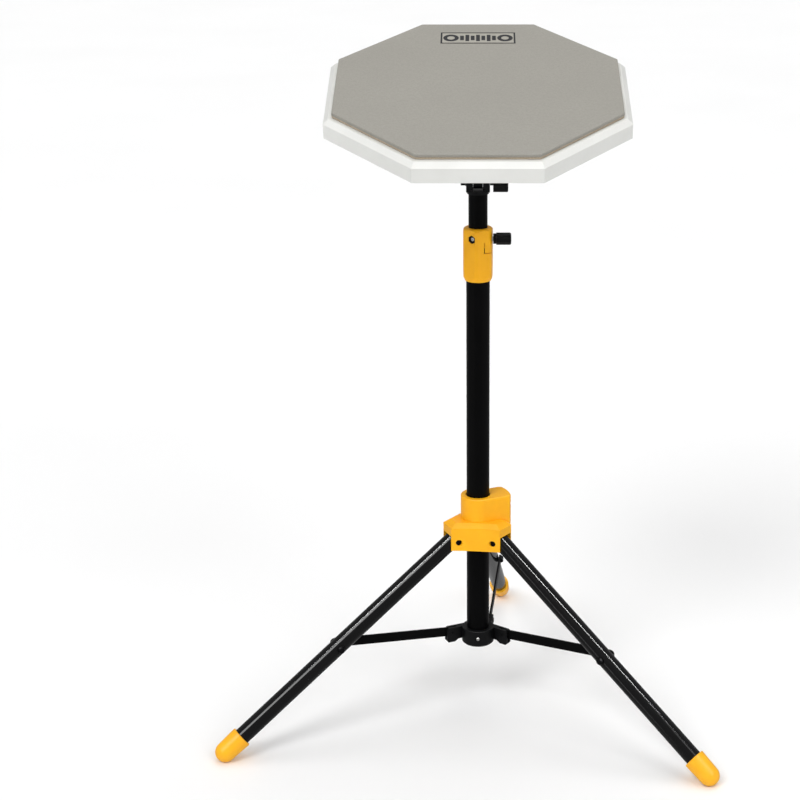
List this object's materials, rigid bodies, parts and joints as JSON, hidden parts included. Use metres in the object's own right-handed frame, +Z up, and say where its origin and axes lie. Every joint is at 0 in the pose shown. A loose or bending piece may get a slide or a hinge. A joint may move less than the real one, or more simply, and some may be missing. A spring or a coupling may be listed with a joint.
{
  "type": "practice pad on tripod stand",
  "caption": "Octagonal drum practice pad with a rubber playing face on a tilting, height-adjustable folding tripod stand.",
  "frame": {"origin": "on the floor, under the common axis of the stand's tubes", "axes": "+Z up along the tubes, -Y towards the player, +X to the player's right"},
  "size_m": [0.5396, 0.4952, 0.7584],
  "materials": {
    "satin_black": "satin",
    "gloss_black": "gloss",
    "nylon_black": "matte",
    "yellow_plastic": "satin",
    "black_plastic": "satin",
    "zinc_steel": "satin",
    "black_steel": "satin",
    "white_board": "satin white paint",
    "tan_foam": "matte",
    "grey_rubber": "matte",
    "label": "printed",
    "yellow_rubber": "satin"
  },
  "bodies": {
    "column": {"main_tube": "satin_black", "mast_guide": "nylon_black", "height_clamp": "yellow_plastic", "clamp_set_screw": "zinc_steel", "clamp_nut": "black_steel", "spreader": "black_plastic", "spreader_rivets": "zinc_steel", "spreader_pins": "black_steel"},
    "carriage": {"mast_plug": "nylon_black"},
    "mast": {"mast_tube": "satin_black", "tilt_fork": "black_plastic", "tilt_bolt": "black_steel", "fork_screw": "black_steel"},
    "head": {"tilt_arm": "black_plastic", "pad_stud": "zinc_steel"},
    "pad": {"pad_flange": "zinc_steel", "flange_screws": "zinc_steel", "pad_board": "white_board", "pad_underlay": "tan_foam", "pad_rubber": "grey_rubber", "pad_label": "label"},
    "pad_lock": {"lock_nut": "black_steel"},
    "tilt_wing": {"tilt_knob": "black_plastic", "tilt_knob_nut": "zinc_steel"},
    "height_wing": {"height_knob": "black_plastic", "height_screw": "zinc_steel"},
    "hub": {"tripod_hub": "yellow_plastic", "hub_pins": "black_steel", "brake_screw": "black_steel", "brake_pad": "nylon_black"},
    "leg_back": {"leg_tube_back": "gloss_black", "leg_plug_back": "nylon_black", "leg_foot_back": "yellow_rubber", "leg_bolt_back": "black_steel"},
    "brace_back": {"brace_back": "satin_black", "brace_rivet_back": "black_steel"},
    "leg_left": {"leg_tube_left": "gloss_black", "leg_plug_left": "nylon_black", "leg_foot_left": "yellow_rubber", "leg_bolt_left": "black_steel"},
    "brace_left": {"brace_left": "satin_black", "brace_rivet_left": "black_steel"},
    "leg_right": {"leg_tube_right": "gloss_black", "leg_plug_right": "nylon_black", "leg_foot_right": "yellow_rubber", "leg_bolt_right": "black_steel"},
    "brace_right": {"brace_right": "satin_black", "brace_rivet_right": "black_steel"}
  },
  "joints": [
    {"name": "mast_slide", "type": "slide", "parent": "column", "child": "carriage", "axis": [0, 0, 1], "range_m": [-0.025, 0.3]},
    {"name": "mast_turn", "type": "hinge", "parent": "carriage", "child": "mast", "pos_m": [0, 0, 0.4], "axis": [0, 0, 1], "continuous": true},
    {"name": "pad_tilt", "type": "hinge", "parent": "mast", "child": "head", "pos_m": [0, 0, 0.612], "axis": [1, 0, 0], "range_deg": [-45, 45]},
    {"name": "pad_turn", "type": "hinge", "parent": "head", "child": "pad", "pos_m": [0, -0.02397, 0.69042], "axis": [0, -0.2924, 0.9563], "continuous": true},
    {"name": "pad_lock_turn", "type": "hinge", "parent": "head", "child": "pad_lock", "pos_m": [0, -0.01725, 0.66842], "axis": [0, -0.2924, 0.9563], "continuous": true},
    {"name": "tilt_wing_turn", "type": "hinge", "parent": "mast", "child": "tilt_wing", "pos_m": [0.02, 0, 0.612], "axis": [1, 0, 0], "continuous": true},
    {"name": "height_wing_turn", "type": "hinge", "parent": "column", "child": "height_wing", "pos_m": [0.02, 0, 0.5495], "axis": [1, 0, 0], "continuous": true},
    {"name": "hub_slide", "type": "slide", "parent": "column", "child": "hub", "axis": [0, 0, 1], "range_m": [0, 0.19426]},
    {"name": "leg_back_fold", "type": "hinge", "parent": "hub", "child": "leg_back", "pos_m": [0.0028, 0.02907, 0.2132], "axis": [-0.9954, 0.0958, 0], "range_deg": [0, 49.21]},
    {"name": "brace_back_fold", "type": "hinge", "parent": "column", "child": "brace_back", "pos_m": [0.01328, 0.02685, 0.095], "axis": [0.9954, -0.0958, 0], "range_deg": [0, 78.62]},
    {"name": "leg_left_fold", "type": "hinge", "parent": "hub", "child": "leg_left", "pos_m": [-0.02657, -0.01211, 0.2132], "axis": [0.4147, -0.91, 0], "range_deg": [0, 49.21]},
    {"name": "brace_left_fold", "type": "hinge", "parent": "column", "child": "brace_left", "pos_m": [-0.0299, -0.00192, 0.095], "axis": [-0.4147, 0.91, 0], "range_deg": [0, 78.62]},
    {"name": "leg_right_fold", "type": "hinge", "parent": "hub", "child": "leg_right", "pos_m": [0.02377, -0.01696, 0.2132], "axis": [0.5807, 0.8141, 0], "range_deg": [0, 49.21]},
    {"name": "brace_right_fold", "type": "hinge", "parent": "column", "child": "brace_right", "pos_m": [0.02898, -0.00759, 0.095], "axis": [-0.5807, -0.8141, 0], "range_deg": [0, 78.62]}
  ],
  "couplings": [
    {"joint": "leg_back_fold", "follows": "hub_slide", "rad_per_m": 4.4214},
    {"joint": "brace_back_fold", "follows": "hub_slide", "rad_per_m": 7.0634},
    {"joint": "leg_left_fold", "follows": "hub_slide", "rad_per_m": 4.4214},
    {"joint": "brace_left_fold", "follows": "hub_slide", "rad_per_m": 7.0634},
    {"joint": "leg_right_fold", "follows": "hub_slide", "rad_per_m": 4.4214},
    {"joint": "brace_right_fold", "follows": "hub_slide", "rad_per_m": 7.0634}
  ]
}
